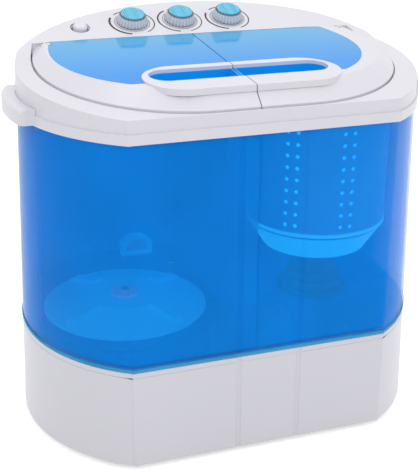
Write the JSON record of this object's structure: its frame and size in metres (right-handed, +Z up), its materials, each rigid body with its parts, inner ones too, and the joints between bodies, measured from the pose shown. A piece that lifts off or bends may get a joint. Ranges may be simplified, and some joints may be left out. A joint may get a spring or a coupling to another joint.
{
  "type": "top load washing machine",
  "caption": "Compact top-loading twin-tub washing machine with a wash tub and a spin basket side by side under hinged lids, and rotary controls on a sloping panel.",
  "frame": {"origin": "on the floor, below the middle of the object's outline", "axes": "+Z up, +X to the right seen from the front, front faces -Y"},
  "size_m": [0.5602, 0.3858, 0.5287],
  "materials": {
    "white_plastic": "smooth glossy moulding",
    "base_plastic": "smooth glossy moulding",
    "blue_shell": "glossy, see-through blue",
    "blue_window": "glossy, see-through blue",
    "blue_tray": "glossy",
    "blue_fittings": "satin",
    "pale_fittings": "satin",
    "net": "fine net",
    "knob_cap": "satin, finely ribbed",
    "knob_skirt": "satin",
    "inner_plastic": "moulded",
    "dark_plastic": "moulded",
    "rubber": "matte",
    "steel": "drawn steel",
    "motor_paint": "dark enamel",
    "capacitor": "moulded case"
  },
  "bodies": {
    "housing": {"base_housing": "base_plastic", "bottom_plate": "inner_plastic", "feet": "rubber", "base_screws": "steel", "tub_shell": "blue_shell", "collar_band": "white_plastic", "cover_screws": "steel", "top_cover": "white_plastic", "lid_hinge_rod": "steel", "control_panel": "white_plastic", "switch_space_cover": "inner_plastic", "water_inlet": "inner_plastic", "inlet_cap": "white_plastic", "lid_switch": "dark_plastic", "wash_timer_body": "dark_plastic", "selector_switch_body": "dark_plastic", "spin_timer_body": "dark_plastic", "lint_filter_frame": "blue_fittings", "lint_filter_net": "net", "bearing_housing": "inner_plastic", "shaft_seal": "rubber", "drive_belt": "rubber", "wash_motor_case": "motor_paint", "wash_motor_bracket": "steel", "spin_motor_case": "motor_paint", "spin_motor_plate": "steel", "spin_spring_mounts": "rubber", "spin_boot": "rubber", "drain_manifold": "inner_plastic", "drain_spigot": "inner_plastic", "motor_capacitors": "capacitor", "cord_gland": "rubber"},
    "wash_lid": {"wash_lid_frame": "white_plastic", "wash_lid_window": "blue_window", "wash_lid_tray": "blue_tray"},
    "spin_lid": {"spin_lid_frame": "white_plastic", "spin_lid_window": "blue_window", "spin_lid_tray": "blue_tray"},
    "wash_timer": {"wash_timer_knob": "knob_skirt", "wash_timer_knob_cap": "knob_cap", "wash_timer_shaft": "steel"},
    "selector": {"selector_knob": "knob_skirt", "selector_knob_cap": "knob_cap", "selector_shaft": "steel"},
    "spin_timer": {"spin_timer_knob": "knob_skirt", "spin_timer_knob_cap": "knob_cap", "spin_timer_shaft": "steel"},
    "agitator": {"pulsator": "blue_fittings", "pulsator_cap": "pale_fittings", "pulsator_screw": "steel", "pulsator_shaft": "steel", "driven_pulley": "inner_plastic"},
    "wash_rotor": {"wash_motor_rotor": "steel", "motor_pulley": "inner_plastic"},
    "basket": {"spin_basket": "blue_fittings", "basket_nut": "steel", "brake_drum": "steel", "spin_rotor_shaft": "steel"},
    "inner_cover": {"basket_cover": "blue_fittings"},
    "brake": {"brake_lever": "steel"}
  },
  "joints": [
    {"name": "wash_lid_hinge", "type": "hinge", "parent": "housing", "child": "wash_lid", "pos_m": [-0.1, 0.078, 0.492], "axis": [-1, 0, 0], "range_deg": [0, 98]},
    {"name": "spin_lid_hinge", "type": "hinge", "parent": "housing", "child": "spin_lid", "pos_m": [0.1, 0.078, 0.492], "axis": [-1, 0, 0], "range_deg": [0, 98]},
    {"name": "wash_timer_turn", "type": "hinge", "parent": "housing", "child": "wash_timer", "pos_m": [-0.0825, 0.11844, 0.50967], "axis": [0, 0.3366, -0.9416], "range_deg": [0, 330]},
    {"name": "selector_turn", "type": "hinge", "parent": "housing", "child": "selector", "pos_m": [-0.0143, 0.11844, 0.50967], "axis": [0, 0.3366, -0.9416], "range_deg": [-60, 60]},
    {"name": "spin_timer_turn", "type": "hinge", "parent": "housing", "child": "spin_timer", "pos_m": [0.0555, 0.11844, 0.50967], "axis": [0, 0.3366, -0.9416], "range_deg": [0, 300]},
    {"name": "pulsator_spin", "type": "hinge", "parent": "housing", "child": "agitator", "pos_m": [-0.13385, -0.006, 0.15], "axis": [0, 0, 1], "continuous": true},
    {"name": "wash_motor_spin", "type": "hinge", "parent": "housing", "child": "wash_rotor", "pos_m": [-0.034, 0.052, 0.06], "axis": [0, 0, 1], "continuous": true},
    {"name": "basket_spin", "type": "hinge", "parent": "housing", "child": "basket", "pos_m": [0.139, -0.02, 0.23], "axis": [0, 0, 1], "continuous": true},
    {"name": "basket_cover_lift", "type": "slide", "parent": "basket", "child": "inner_cover", "axis": [0, 0, 1], "range_m": [0, 0.025]},
    {"name": "brake_lever_turn", "type": "hinge", "parent": "housing", "child": "brake", "pos_m": [0.08531, -0.051, 0.118], "axis": [0, 0, 1], "range_deg": [-20, 0]}
  ],
  "couplings": [
    {"joint": "wash_motor_spin", "follows": "pulsator_spin", "ratio": 4},
    {"joint": "brake_lever_turn", "follows": "spin_lid_hinge", "ratio": -0.195}
  ]
}
